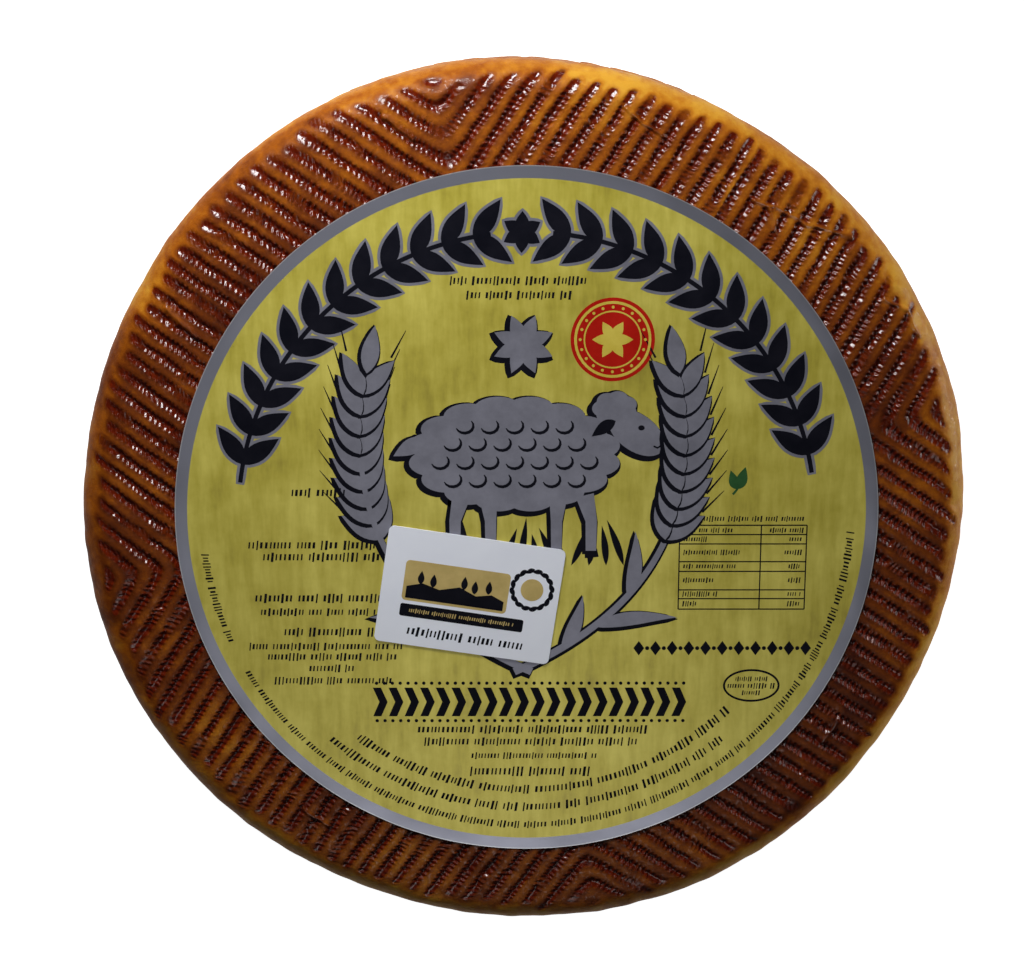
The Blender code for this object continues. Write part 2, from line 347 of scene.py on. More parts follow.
def face_quarter(name, stations, start, stop, columns, upper, material):
    """One quarter of a face as a closed slab, from the seam at start to the one at stop, in degrees."""
    angles = np.radians(np.linspace(start, stop, columns))
    points, groove, ribs, coat, run = drum_face(stations, angles, upper)
    rows = len(stations)
    rim = TOP - SHOULDER if upper else SHOULDER
    crown = [[AXIS_X, AXIS_Y, TOP if upper else 0.0], [AXIS_X, AXIS_Y, rim]]
    points = np.concatenate([points.reshape(-1, 3), crown])
    centre = rows * columns
    inner = np.arange(columns - 1)
    outer = centre - columns + inner
    quads = grid_quads(rows, columns, 0, False)
    cap = np.stack([inner + 1, inner, np.full_like(inner, centre)], axis=-1)
    below = np.stack([outer, outer + 1, np.full_like(inner, centre + 1)], axis=-1)
    column = np.arange(rows) * columns
    first_wall = np.concatenate([[centre + 1, centre], column])[None, :]
    last_wall = np.concatenate([(column + columns - 1)[::-1], [centre, centre + 1]])[None, :]
    smooth = [quads[:, ::-1], cap[:, ::-1]]
    flat = [below[:, ::-1], first_wall[:, ::-1], last_wall[:, ::-1]]
    if not upper:
        smooth = [group[:, ::-1] for group in smooth]
        flat = [group[:, ::-1] for group in flat]
    mesh = make_mesh(name, points, smooth, flat)
    for key, values in (("groove", groove), ("ribs", ribs), ("coat", coat), ("wax", run)):
        store(mesh, key, np.concatenate([values.ravel(), [0.0, 0.0]]))
    add_piece(name, mesh, material, "coated_rind", "cheese_wheel")


def feed(tree, socket, source):
    """Sets an input to a constant, or joins another node's output to it."""
    if isinstance(source, bpy.types.NodeSocket):
        tree.links.new(source, socket)
    else:
        socket.default_value = source


def node(tree, kind, inputs, **settings):
    """Adds a node with its settings and its inputs, each a constant or another node's output."""
    added = tree.nodes.new(kind)
    for key, value in settings.items():
        setattr(added, key, value)
    for key, source in inputs.items():
        feed(tree, added.inputs[key], source)
    return added


def object_place(tree):
    """The place on the object, in its own coordinates."""
    return node(tree, "ShaderNodeTexCoord", {}).outputs["Object"]


def attribute(tree, name):
    """The number that the mesh keeps under a name."""
    return node(tree, "ShaderNodeAttribute", {}, attribute_name=name).outputs["Fac"]


def noise(tree, place, scale, detail, grain):
    """Soft noise from 0 to 1."""
    inputs = {"Vector": place, "Scale": scale, "Detail": detail, "Roughness": grain}
    return node(tree, "ShaderNodeTexNoise", inputs).outputs["Fac"]


def reckon(tree, operation, *numbers, **settings):
    """A sum on numbers; MULTIPLY_ADD is the first times the second, plus the third."""
    inputs = dict(enumerate(numbers))
    return node(tree, "ShaderNodeMath", inputs, operation=operation, **settings).outputs["Value"]


def ranged(tree, value, low=0.0, high=1.0, first=0.0, last=1.0):
    """A number that runs straight from first, where the value is low, to last, where it is high."""
    inputs = {"Value": value, "From Min": low, "From Max": high, "To Min": first, "To Max": last}
    return node(tree, "ShaderNodeMapRange", inputs).outputs["Result"]


def blend(tree, share, first, second):
    """The first colour at a share of 0, the second at 1."""
    inputs = {"Factor": share, "A": first, "B": second}
    return node(tree, "ShaderNodeMix", inputs, data_type="RGBA").outputs["Result"]


def ramp(tree, value, stops):
    """The colour at a value, between (place, colour) stops."""
    added = node(tree, "ShaderNodeValToRGB", {"Fac": value})
    elements = added.color_ramp.elements
    while len(elements) < len(stops):
        elements.new(1.0)
    for element, (place, colour) in zip(elements, stops):
        element.position = place
        element.color = (*colour, 1.0)
    return added.outputs["Color"]


def bump(tree, height, strength, distance, **start):
    """The normal of a height that stands on the surface, or on a start Normal."""
    inputs = {"Height": height, "Strength": strength, "Distance": distance, **start}
    return node(tree, "ShaderNodeBump", inputs).outputs["Normal"]


def new_material(name):
    """A material with a plain Principled shader, and its node tree."""
    material = bpy.data.materials.new(name)
    material.use_nodes = True
    return material, material.node_tree


def dress(material, inputs):
    """Gives the material's shader its inputs, each a constant or a node's output."""
    shader = material.node_tree.nodes["Principled BSDF"]
    for key, source in inputs.items():
        feed(material.node_tree, shader.inputs[key], source)
    return material


def rind_material():
    """The coated rind: caramel ridges, red-brown to nearly black groove floors, glossy clear coat.

    A ridge's shade is 0.5 coat + 1.2 patches + 0.5 specks - 0.76. The clear coat is thick in the grooves and
    on the runs of wax, thin on bare shoulders, and lies in fine specks everywhere.
    """
    material, tree = new_material("coated_rind")
    groove = attribute(tree, "groove")
    coat = attribute(tree, "coat")
    place = object_place(tree)
    patches = noise(tree, place, 45.0, 4.0, 0.6)
    specks = noise(tree, place, 420.0, 3.0, 0.6)
    pores = noise(tree, place, 1100.0, 4.0, 0.65)

    # The coat number brings the coat's brown and also painted shade: a darker lower half of the ring and a
    # darker stretch of shoulder.
    stain = reckon(tree, "MULTIPLY_ADD", coat, 0.50, -0.76)
    blotch = reckon(tree, "MULTIPLY_ADD", patches, 1.2, stain)
    shade = reckon(tree, "MULTIPLY_ADD", specks, 0.50, blotch)
    ridges = ramp(
        tree,
        shade,
        (
            (0.0, (0.58, 0.288, 0.026)),
            (0.20, (0.46, 0.168, 0.010)),
            (0.42, (0.295, 0.077, 0.003)),
            (0.66, (0.150, 0.030, 0.002)),
            (1.0, (0.050, 0.007, 0.001)),
        ),
    )
    floors = ramp(tree, specks, ((0.35, (0.132, 0.011, 0.001)), (0.70, (0.066, 0.005, 0.001))))
    sunk = ranged(tree, groove, 0.05, 0.85)

    gloss = ranged(tree, groove, first=0.36, last=0.12)
    bare = ranged(tree, coat, high=0.5, first=0.08, last=0.0)
    filled = reckon(tree, "MULTIPLY_ADD", groove, 0.54, bare)
    waxed = reckon(tree, "MULTIPLY_ADD", attribute(tree, "wax"), 0.75, filled)
    frost = ranged(tree, pores, 0.54, 0.70, last=0.42)

    turn = reckon(tree, "MULTIPLY", attribute(tree, "ribs"), 2 * math.pi)
    crest = reckon(tree, "COSINE", turn)
    rib = reckon(tree, "MULTIPLY", crest, ranged(tree, groove, high=0.35))
    ribbed = bump(tree, rib, 0.6, 0.10 * MM)
    pitted = reckon(tree, "MULTIPLY", pores, ranged(tree, groove, first=0.7))
    return dress(
        material,
        {
            "Base Color": blend(tree, sunk, ridges, floors),
            "Roughness": reckon(tree, "MULTIPLY_ADD", specks, 0.16, gloss),
            "Specular IOR Level": 0.10,
            "Coat Weight": reckon(tree, "ADD", waxed, frost, use_clamp=True),
            "Coat Roughness": 0.15,
            "Coat IOR": 1.5,
            "Normal": bump(tree, pitted, 0.9, 0.26 * MM, Normal=ribbed),
        },
    )


rind = rind_material()

FINE_STEP = 0.25 * MM
SHOULDER_STEP = 0.5 * MM
UNDER_LABEL = 77.0 * MM
TOP_COLUMNS = 560
UNDERSIDE_STEP = 0.72 * MM
UNDERSIDE_COLUMNS = 200
FINE_END = FLAT + 3 * MM
FACE_END = FLAT + 0.5 * math.pi * SHOULDER
rim_stations = np.arange(FINE_END, FACE_END - 0.5 * SHOULDER_STEP, SHOULDER_STEP)
top_stations = np.concatenate([np.arange(UNDER_LABEL, FINE_END, FINE_STEP), rim_stations, [FACE_END]])
flat_stations = np.arange(CENTRE_FLAT, FLAT, UNDERSIDE_STEP)
bottom_stations = np.concatenate([flat_stations, np.linspace(FLAT, FACE_END, 16)])
seam_ends = np.append(SEAMS, SEAMS[0] + 360)
for name, stations, columns in (
    ("upper_rind", top_stations, TOP_COLUMNS),
    ("lower_rind", bottom_stations, UNDERSIDE_COLUMNS),
):
    for quarter in range(4):
        span = seam_ends[quarter : quarter + 2]
        face_quarter(f"{name}_{quarter + 1}", stations, *span, columns, name == "upper_rind", rind)

# The side of the cheese: the part of the same rind that the plaited mould band has pressed, in leaning rows
# that turn back at each row's edge. It runs from shoulder to shoulder and closes flat against the two faces.
SIDE_COLUMNS = 960
SIDE_ROWS = 85


def side_band(name, material):
    """The side as a closed drum: radius = RADIUS + lobes + print + lumps, the print faded at both edges."""
    heights = np.linspace(SHOULDER, TOP - SHOULDER, SIDE_ROWS)
    angles = np.linspace(0, 2 * math.pi, SIDE_COLUMNS, endpoint=False)
    height, angle = np.meshgrid(heights, angles, indexing="ij")
    lift, groove, ribs = side_print(angle, height)
    edge = np.minimum(height - SHOULDER, TOP - SHOULDER - height)
    share = EDGE_SHARE + (1 - EDGE_SHARE) * rise(1 * MM, 14 * MM, edge)
    x = RADIUS * np.cos(angle)
    y = RADIUS * np.sin(angle)
    drop = np.minimum(height, TOP - height)
    radius = RADIUS + lobed(angle, LOBES) + lift * share + lumps(x, y, drop)
    points = np.stack([AXIS_X + radius * np.cos(angle), AXIS_Y + radius * np.sin(angle), height], axis=-1)
    ends = [[AXIS_X, AXIS_Y, SHOULDER], [AXIS_X, AXIS_Y, TOP - SHOULDER]]
    points = np.concatenate([points.reshape(-1, 3), ends])
    centre = SIDE_ROWS * SIDE_COLUMNS
    column = np.arange(SIDE_COLUMNS)
    following = (column + 1) % SIDE_COLUMNS
    upper = centre - SIDE_COLUMNS
    bottom = np.stack([following, column, np.full_like(column, centre)], axis=-1)
    top = np.stack([upper + column, upper + following, np.full_like(column, centre + 1)], axis=-1)
    mesh = make_mesh(name, points, [grid_quads(SIDE_ROWS, SIDE_COLUMNS, 0, True)], [bottom, top])
    coat = np.full_like(ribs, SIDE_COAT)
    for key, values in (("groove", groove * share), ("ribs", ribs), ("coat", coat)):
        store(mesh, key, np.concatenate([values.ravel(), [0.0, 0.0]]))
    add_piece(name, mesh, material, "coated_rind", "cheese_wheel")


side_band("side_rind", rind)

# The label: a round of metallised paper printed gold up to a bare silver rim, glued flat on the ridges, with
# a white cut edge that has curled up a little.
LABEL_X = AXIS_X + 0.78 * MM
LABEL_Y = AXIS_Y - 1.10 * MM
LABEL_RADIUS = 80.0 * MM
GOLD_RADIUS = 77.2 * MM
LABEL_UNDER = TOP + 0.10 * MM
LABEL_TOP = TOP + 0.28 * MM
CURL_START = 75.6 * MM
LABEL_COLUMNS = 360
BARE_SILVER = (0.25, 0.255, 0.305, 1.0)
PAPER_WHITE = (0.50, 0.50, 0.52, 1.0)


def cloud_group():
    """Soft clouds that paper, inks, plate and floor share, as a group of nodes.

    Clouds is noise from 0 to 1. Colour runs from Dark, where that is Low, to Light, where it is High, and
    Roughness from Smooth to Rough.
    """
    group = bpy.data.node_groups.new("clouds", "ShaderNodeTree")
    group.interface.new_socket("Place", in_out="INPUT", socket_type="NodeSocketVector")
    usual = {"Scale": 90.0, "Detail": 2.0, "Grain": 0.5, "Low": 0.0, "High": 1.0, "Smooth": 0.3, "Rough": 0.5}
    for name, value in usual.items():
        socket = group.interface.new_socket(name, in_out="INPUT", socket_type="NodeSocketFloat")
        socket.default_value = value
    for name in ("Dark", "Light"):
        group.interface.new_socket(name, in_out="INPUT", socket_type="NodeSocketColor")
    for name, kind in (("Clouds", "Float"), ("Colour", "Color"), ("Roughness", "Float")):
        group.interface.new_socket(name, in_out="OUTPUT", socket_type="NodeSocket" + kind)
    given = group.nodes.new("NodeGroupInput").outputs
    result = group.nodes.new("NodeGroupOutput").inputs
    clouds = noise(group, given["Place"], given["Scale"], given["Detail"], given["Grain"])
    share = ranged(group, clouds, given["Low"], given["High"])
    feed(group, result["Clouds"], clouds)
    feed(group, result["Colour"], blend(group, share, given["Dark"], given["Light"]))
    feed(group, result["Roughness"], ranged(group, clouds, first=given["Smooth"], last=given["Rough"]))
    return group


CLOUDS = cloud_group()


def clouded(tree, place, values):
    """Puts the shared clouds in a material with its own values, and gives their outputs."""
    return node(tree, "ShaderNodeGroup", {"Place": place, **values}, node_tree=CLOUDS).outputs


def label_material():
    """Gold print on metallised paper, streaked and clouded, inside a silver rim and a white cut edge."""
    material, tree = new_material("gold_paper")
    middle = {0: object_place(tree), 1: (LABEL_X, LABEL_Y, LABEL_TOP)}
    place = node(tree, "ShaderNodeVectorMath", middle, operation="SUBTRACT").outputs["Vector"]
    distance = node(tree, "ShaderNodeVectorMath", {0: place}, operation="LENGTH").outputs["Value"]
    rim = ranged(tree, distance, GOLD_RADIUS - 0.05 * MM, GOLD_RADIUS + 0.05 * MM)
    cut = ranged(tree, distance, LABEL_RADIUS - 0.22 * MM, LABEL_RADIUS - 0.14 * MM)
    stretched = node(tree, "ShaderNodeMapping", {"Vector": place, "Scale": (1.0, 0.16, 1.0)})
    streaks = noise(tree, stretched.outputs["Vector"], 420.0, 3.0, 0.6)
    values = {"Scale": 48.0, "Detail": 5.0, "Grain": 0.62, "Smooth": 0.30, "Rough": 0.46}
    clouds = clouded(tree, place, values)
    grain = reckon(tree, "MULTIPLY_ADD", streaks, 0.55, clouds["Clouds"])
    stops = ((0.42, (0.25, 0.200, 0.019)), (0.70, (0.47, 0.400, 0.048)), (1.0, (0.66, 0.58, 0.11)))
    face = blend(tree, rim, ramp(tree, grain, stops), BARE_SILVER)
    return dress(
        material,
        {
            "Base Color": blend(tree, cut, face, PAPER_WHITE),
            "Metallic": ranged(tree, rim, first=0.30, last=0.80),
            "Roughness": clouds["Roughness"],
            "Specular IOR Level": 0.5,
            "Normal": bump(tree, clouds["Clouds"], 0.35, 0.25 * MM),
        },
    )


def label_disc(name, material):
    """A thin round sheet: rings of points out to LABEL_RADIUS, over and under, flat but for its rim."""
    rings = np.array([40.0, 70.0, 75.6, 76.6, 77.6, 78.6, 79.5, 80.0]) * MM
    angles = np.linspace(0, 2 * math.pi, LABEL_COLUMNS, endpoint=False)
    ring, angle = np.meshgrid(rings, angles, indexing="ij")
    x = ring * np.cos(angle)
    y = ring * np.sin(angle)
    curl = rise(CURL_START, LABEL_RADIUS, ring) * (0.10 * MM + 0.14 * MM * wander(x, y, 9 * MM, 21))
    over = np.stack([LABEL_X + x, LABEL_Y + y, LABEL_TOP + curl], axis=-1).reshape(-1, 3)
    under = over - [0, 0, LABEL_TOP - LABEL_UNDER]
    middle = [[LABEL_X, LABEL_Y, LABEL_TOP], [LABEL_X, LABEL_Y, LABEL_UNDER]]
    points = np.concatenate([over, under, middle])
    rows = len(rings)
    count = rows * LABEL_COLUMNS
    column = np.arange(LABEL_COLUMNS)
    following = (column + 1) % LABEL_COLUMNS
    over_cap = np.stack([column, following, np.full_like(column, 2 * count)], axis=-1)
    under_cap = np.stack([following, column, np.full_like(column, count + 1)], axis=-1) + count
    last = count - LABEL_COLUMNS
    edge = np.stack([following, column, count + column, count + following], axis=-1) + last
    smooth = [grid_quads(rows, LABEL_COLUMNS, 0, True)[:, ::-1], over_cap]
    flat = [grid_quads(rows, LABEL_COLUMNS, count, True), under_cap, edge]
    mesh = make_mesh(name, points, smooth, flat)
    return add_piece(name, mesh, material, "gold_paper", "round_label")


label_disc("label_paper", label_material())

# The label's print: inks and bare silver on the gold. A laurel arc over a sheep between two ears of wheat, a
# red seal with a flower, a green sprig, a chevron frieze, and rows of short strokes where small print goes.
# Each ink is a film of flat shapes that stands a few hundredths of a millimetre proud, in layers.
INK_FOOT = LABEL_TOP - 0.05 * MM
INK_LOW = LABEL_TOP + 0.015 * MM
INK_MIDDLE = LABEL_TOP + 0.030 * MM
INK_HIGH = LABEL_TOP + 0.045 * MM
LIFT_STEP = 0.0005 * MM
LIFT_LEVELS = 29
GRAIN_STEP = 0.00163 * MM
ARC_CENTRE = np.array([0.78, -1.10])
ARC_RADIUS = 65.5
LEAF_PAIRS = 12


def prisms(outlines, low, high):
    """Flat solids from low to high on outlines in mm (count, corners, 2): (points, groups of faces)."""
    outlines = np.asarray(outlines, dtype=float)
    count, corners = outlines.shape[:2]
    flat = outlines.reshape(-1, 2) * MM + [AXIS_X, AXIS_Y]
    under = np.concatenate([flat, np.full((len(flat), 1), low)], axis=1)
    over = np.concatenate([flat, np.full((len(flat), 1), high)], axis=1)
    corner = (np.arange(count) * corners)[:, None] + np.arange(corners)[None, :]
    following = np.roll(corner, -1, axis=1)
    total = count * corners
    sides = np.stack([corner, following, total + following, total + corner], axis=-1).reshape(-1, 4)
    return np.concatenate([under, over]), [sides, total + corner, corner[:, ::-1]]


def hoop(outer, inner, low, high):
    """A flat closed ring between two outlines in mm with as many corners each: (points, groups of faces)."""
    count = len(outer)
    rings = [(inner, low), (outer, low), (outer, high), (inner, high)]
    points = np.concatenate(
        [np.column_stack([ring * MM + [AXIS_X, AXIS_Y], np.full(count, level)]) for ring, level in rings]
    )
    near = np.arange(count)
    far = (near + 1) % count
    faces = []
    for a, b in ((count, 2 * count), (2 * count, 3 * count), (3 * count, 0), (0, count)):
        faces.append(np.stack([a + near, a + far, b + far, b + near], axis=-1))
    return points, faces


def printed(name, parts, material, slot):
    """One piece from the (points, face groups) of its parts."""
    groups = []
    first = 0
    for points, faces in parts:
        groups += [group + first for group in faces]
        first += len(points)
    mesh = make_mesh(name, np.concatenate([points for points, faces in parts]), [], groups)
    return add_piece(name, mesh, material, slot)


def placed(outlines, x, y, turn):
    """Outlines turned by an angle and then moved."""
    c = math.cos(turn)
    s = math.sin(turn)
    return np.asarray(outlines) @ np.array([[c, s], [-s, c]]) + [x, y]


def leaf(length, width, bend=0.0):
    """Leaf from its base at 0 to its tip: half width sin(pi * t ^ 0.8) and middle line bend * t ^ 2."""
    t = np.linspace(0, 1, 11)
    half = 0.5 * width * np.sin(math.pi * t**0.8)
    middle = bend * t * t
    right = np.column_stack([length * t, middle - half])
    left = np.column_stack([length * t, middle + half])
    return np.concatenate([right, left[-2:0:-1]])


def grown(outlines, margin):
    """Outlines with every corner moved outwards by a margin, along the mean of its two sides' normals."""
    outlines = np.asarray(outlines, dtype=float)
    side = np.roll(outlines, -1, axis=-2) - outlines
    side = side / np.linalg.norm(side, axis=-1, keepdims=True)
    normal = np.stack([side[..., 1], -side[..., 0]], axis=-1)
    normal = normal + np.roll(normal, 1, axis=-2)
    normal = normal / np.maximum(np.linalg.norm(normal, axis=-1, keepdims=True), 0.3)
    return outlines + margin * normal


def strip(path, width):
    """Outline of a line of even width along a path of points; width may be one number a point."""
    path = np.asarray(path, dtype=float)
    tangent = np.gradient(path, axis=0)
    tangent = tangent / np.linalg.norm(tangent, axis=1, keepdims=True)
    across = np.column_stack([-tangent[:, 1], tangent[:, 0]])
    half = 0.5 * np.broadcast_to(width, len(path))[:, None] * across
    return np.concatenate([path - half, (path + half)[::-1]])


def oval(x, y, wide, high, start=0.0, stop=360.0, count=48):
    """Points on an oval between two angles in degrees; a whole turn leaves out the repeated point."""
    turn = np.radians(np.linspace(start, stop, count, endpoint=stop - start < 360))
    return np.column_stack([x + wide * np.cos(turn), y + high * np.sin(turn)])


def strokes(length, height, rng):
    """A row of slanted short strokes from 0 to length about y = 0, in groups like words: (count, 4, 2)."""
    found = []
    x = 0.0
    while x < length:
        for _ in range(rng.integers(4, 15)):
            if x > length:
                break
            wide = height * rng.choice([0.16, 0.20, 0.26])
            tall = 0.5 * height * rng.choice([0.66, 0.66, 1.0])
            lean = 0.12 * tall
            foot = x - lean
            top = x + lean
            found.append([[foot, -tall], [foot + wide, -tall], [top + wide, tall], [top, tall]])
            x += wide + height * rng.choice([0.20, 0.26])
        x += 0.42 * height
    return np.array(found)


def round_row(outlines, radius, start):
    """Bends a row round the label's centre, from an angle in degrees on, with its foot outwards."""
    angle = math.radians(start) + outlines[..., 0] / radius
    reach = radius - outlines[..., 1]
    return ARC_CENTRE + np.stack([reach * np.cos(angle), reach * np.sin(angle)], axis=-1)


def clouded_material(name, clouds, values):
    """A finish in soft clouds, from the shared group's values and the shader's own."""
    material, tree = new_material(name)
    shared = clouded(tree, object_place(tree), clouds)
    return dress(material, {"Base Color": shared["Colour"], "Roughness": shared["Roughness"], **values})


def ink(name, dark, light, metallic, roughness):
    """Printing ink: two near tones in fine clouds, with a slightly uneven gloss."""
    clouds = {"Scale": 160.0, "Detail": 4.0, "Grain": 0.65, "Low": 0.35, "High": 0.68}
    tones = {"Dark": (*dark, 1.0), "Light": (*light, 1.0), "Smooth": roughness, "Rough": roughness + 0.15}
    return clouded_material(name, clouds | tones, {"Metallic": metallic, "Specular IOR Level": 0.08})


black_ink = ink("black_ink", (0.0015, 0.0018, 0.0055), (0.005, 0.005, 0.010), 0.0, 0.50)
silver_ink = ink("bare_silver", (0.19, 0.19, 0.23), (0.25, 0.25, 0.30), 0.55, 0.36)
red_ink = ink("red_ink", (0.36, 0.006, 0.002), (0.43, 0.010, 0.004), 0.0, 0.45)
gold_ink = ink("gold_ink", (0.62, 0.48, 0.06), (0.72, 0.58, 0.10), 0.35, 0.36)
green_ink = ink("green_ink", (0.020, 0.075, 0.022), (0.030, 0.105, 0.032), 0.0, 0.40)

LEAF_SPREAD = 0.62
arc_leaves = []
for way, first in ((-1, 170.5), (1, 11.5)):
    for pair in range(LEAF_PAIRS):
        place = math.radians(first + way * (pair + 0.35) * 74.0 / LEAF_PAIRS)
        base = ARC_CENTRE + ARC_RADIUS * np.array([math.cos(place), math.sin(place)])
        heading = place + way * math.pi / 2
        for side in (-1, 1):
            shape = leaf(10.2, 4.2, side * 1.3)
            arc_leaves.append(placed(shape, *base, heading + side * LEAF_SPREAD))
rosette_middle = ARC_CENTRE + [-1.1, ARC_RADIUS]
rosette = [placed(leaf(4.6, 3.0), *rosette_middle, k * math.pi / 3 + 0.5) for k in range(6)]
stems = [
    strip(oval(*ARC_CENTRE, ARC_RADIUS, ARC_RADIUS, *span, 60), 1.0) for span in ((97.0, 172.0), (10.0, 85.0))
]

EAR_LENGTH = 10.5
EAR_SPREAD = 0.50
ears = []
ear_stems = []
awns = []
blades = []
for way in (-1, 1):
    t = np.linspace(0, 1, 41)[:, None]
    path = (1 - t) ** 2 * [-2 * way, -37] + 2 * t * (1 - t) * [45 * way, -16] + t * t * [35 * way, 33]
    ear_stems.append(strip(path, np.linspace(1.8, 0.9, 41)))
    heading = np.arctan2(*np.gradient(path, axis=0).T[::-1])
    for step in range(22, 40, 2):
        for side in (-1, 1):
            lean = heading[step] + side * EAR_SPREAD
            ears.append(placed(leaf(EAR_LENGTH, 4.0, side * 1.0), *path[step], lean))
            tip = path[step] + EAR_LENGTH * np.array([math.cos(lean), math.sin(lean)])
            awn = strip([[0, 0], [3.5, 0], [7, 0]], [0.5, 0.35, 0.12])
            awns.append(placed(awn, *tip, heading[step] + side * 0.36))
    ears.append(placed(leaf(11.0, 4.0), *path[40], heading[40]))
    for step, side, length in ((9, -way, 19.0), (14, way, 15.0), (5, way, 13.0)):
        blades.append(placed(leaf(length, 3.4, side * 4.0), *path[step], heading[step] + side * 0.35))

turn = np.radians(np.linspace(0, 360, 144, endpoint=False))
fleece_swell = 1 + 0.075 * np.abs(np.sin(8 * turn)) ** 0.8
fleece = np.column_stack([22.5 * np.cos(turn), 12.5 * np.sin(turn)]) * fleece_swell[:, None] + [-2, 14.5]
head = placed(oval(0, 0, 7.2, 4.2), 25.5, 19.5, -0.62)
cap_swell = 1 + 0.12 * np.abs(np.sin(3.5 * turn))
cap = np.column_stack([4.6 * np.cos(turn), 3.6 * np.sin(turn)]) * cap_swell[:, None] + [20.6, 25.0]
legs = []
for x, slant in ((-14, -1.5), (-8, 0.6), (8, -0.4), (14, 1.5)):
    legs.append(strip([[x, 5], [x + slant, -1], [x + slant, -8]], [4.2, 2.6, 2.4]))
hooves = [strip([[x, -7.6], [x + 0.2, -9.6]], [2.8, 3.2]) for x in (-15.5, -7.4, 7.6, 15.5)]
tail = placed(leaf(8, 3.8, -1.5), -22.5, 18.5, 3.9)
ear_flap = placed(leaf(6.4, 2.8, 0.8), 20.8, 22.2, 3.6)
CURL_WIDTHS = [0.2, 0.45, 0.6, 0.7, 0.7, 0.7, 0.6, 0.45, 0.2]
curls = []
for across, count in ((7.6, 5), (3.6, 6), (-0.6, 7), (-4.8, 6)):
    for k in range(count):
        x = -2 + (k - 0.5 * (count - 1)) * 5.6
        curls.append(strip(oval(x, 13.5 + across, 2.0, 1.7, 200, 400, 9), CURL_WIDTHS))
eye = oval(26.6, 20.6, 0.75, 0.6, count=12)
nostril = strip([[29.4, 16.4], [30.3, 16.0], [30.9, 16.4]], 0.4)
grass = []
for k in range(12):
    grass.append(placed(leaf(7.5 + 2.0 * (k % 3), 1.6, 0.8), -21 + 4.0 * k, -11.5, 1.1 + 0.25 * (k % 4)))
star = [placed(leaf(7.0, 3.4), 0.0, 39.5, k * math.pi / 4 + math.pi / 8) for k in range(8)]

FRIEZE_Y = -44.4
FRIEZE_STEP = 3.66
LOZENGE_Y = -31.3
LOZENGE_STEP = 3.86
frieze = []
for k in range(20):
    for side in (-1, 1):
        half_chevron = np.array([[0, 0], [1.9, 0], [0.4, 3.5 * side], [-1.5, 3.5 * side]])[::side]
        frieze.append(half_chevron + [-33.4 + FRIEZE_STEP * k, FRIEZE_Y])
beads = []
for k in range(40):
    for side in (-1, 1):
        beads.append(oval(-34.0 + 0.5 * FRIEZE_STEP * k, FRIEZE_Y + 4.6 * side, 0.42, 0.42, count=8))
lozenge = np.array([[-1.25, 0], [0, -1.75], [1.25, 0], [0, 1.75]])
lozenges = [lozenge + [26.8 + LOZENGE_STEP * k, LOZENGE_Y] for k in range(11)]
pips = [oval(28.73 + LOZENGE_STEP * k, LOZENGE_Y, 0.5, 0.5, count=8) for k in range(10)]

rng = np.random.default_rng(11)
STRAIGHT_ROWS = (
    (-16.2, 13.9, 53.7, 2.0), (-12.6, 10.4, 50.5, 2.0), (-52.5, -40.6, 5.6, 2.2), (-62.7, -31.4, -6.7, 2.2),
    (-59.4, -33.4, -9.5, 2.2), (-61.5, -32.0, -19.3, 2.2), (-60.3, -34.0, -22.6, 1.9),
    (-55.0, -34.6, -27.4, 2.2), (-63.2, -28.3, -30.9, 1.9), (-59.0, -29.3, -33.4, 1.9),
    (-49.5, -38.9, -36.2, 1.9), (-57.6, -30.4, -39.2, 1.9), (-24.5, 29.0, -51.2, 2.1),
    (-23.0, 27.0, -54.2, 2.1), (-12.0, 17.5, -57.7, 1.7), (-12.3, 16.0, -61.6, 2.4), (35.9, 64.3, -0.5, 1.4),
    (49.4, 56.8, -38.8, 1.2), (47.6, 58.4, -40.5, 1.4), (51.0, 55.2, -42.2, 1.2),
)
TABLE_ROWS = (
    (-3.2, 11, 7.5), (-5.3, 5, 3), (-8.4, 13, 4), (-11.7, 12, 3), (-15.0, 7, 3), (-18.3, 8, 3), (-20.6, 3, 3),
)
TABLE_LINES = (-2.0, -4.2, -6.4, -10.6, -12.9, -17.3, -19.4, -21.9)
TABLE_LEFT = 35.7
TABLE_MIDDLE = 54.3
TABLE_RIGHT = 64.7
ROUND_ROWS = ((65.0, 233, 316, 2.2), (69.4, 229, 311, 2.2), (73.9, 209, 358, 1.8), (73.9, 186, 203, 1.8))
rows = [strokes(x1 - x0, tall, rng) + [x0, y] for x0, x1, y, tall in STRAIGHT_ROWS]
for y, left, right in TABLE_ROWS:
    rows.append(strokes(left, 1.3, rng) + [TABLE_LEFT + 1.0, y])
    rows.append(strokes(right, 1.3, rng) + [TABLE_RIGHT - 0.9 - right, y])
for radius, first, last, tall in ROUND_ROWS:
    rows.append(round_row(strokes(math.radians(last - first) * radius, tall, rng), radius, first))
rules = [strip([[TABLE_LEFT, y], [50, y], [TABLE_RIGHT, y]], 0.28) for y in TABLE_LINES]
for x in (TABLE_LEFT, TABLE_MIDDLE, TABLE_RIGHT):
    rules.append(strip([[x, TABLE_LINES[0]], [x, -12], [x, TABLE_LINES[-1]]], 0.28))


def film(shapes, level, foot=INK_FOOT):
    """One ink's parts: a prism for each shape or row of shapes, up to a layer's level.

    Each shape stands half a micrometre off the last, so that no faces lie in one plane where shapes cross.
    """
    return [
        prisms(shape if np.ndim(shape) == 3 else [shape], foot, level + number % LIFT_LEVELS * LIFT_STEP)
        for number, shape in enumerate(shapes)
    ]


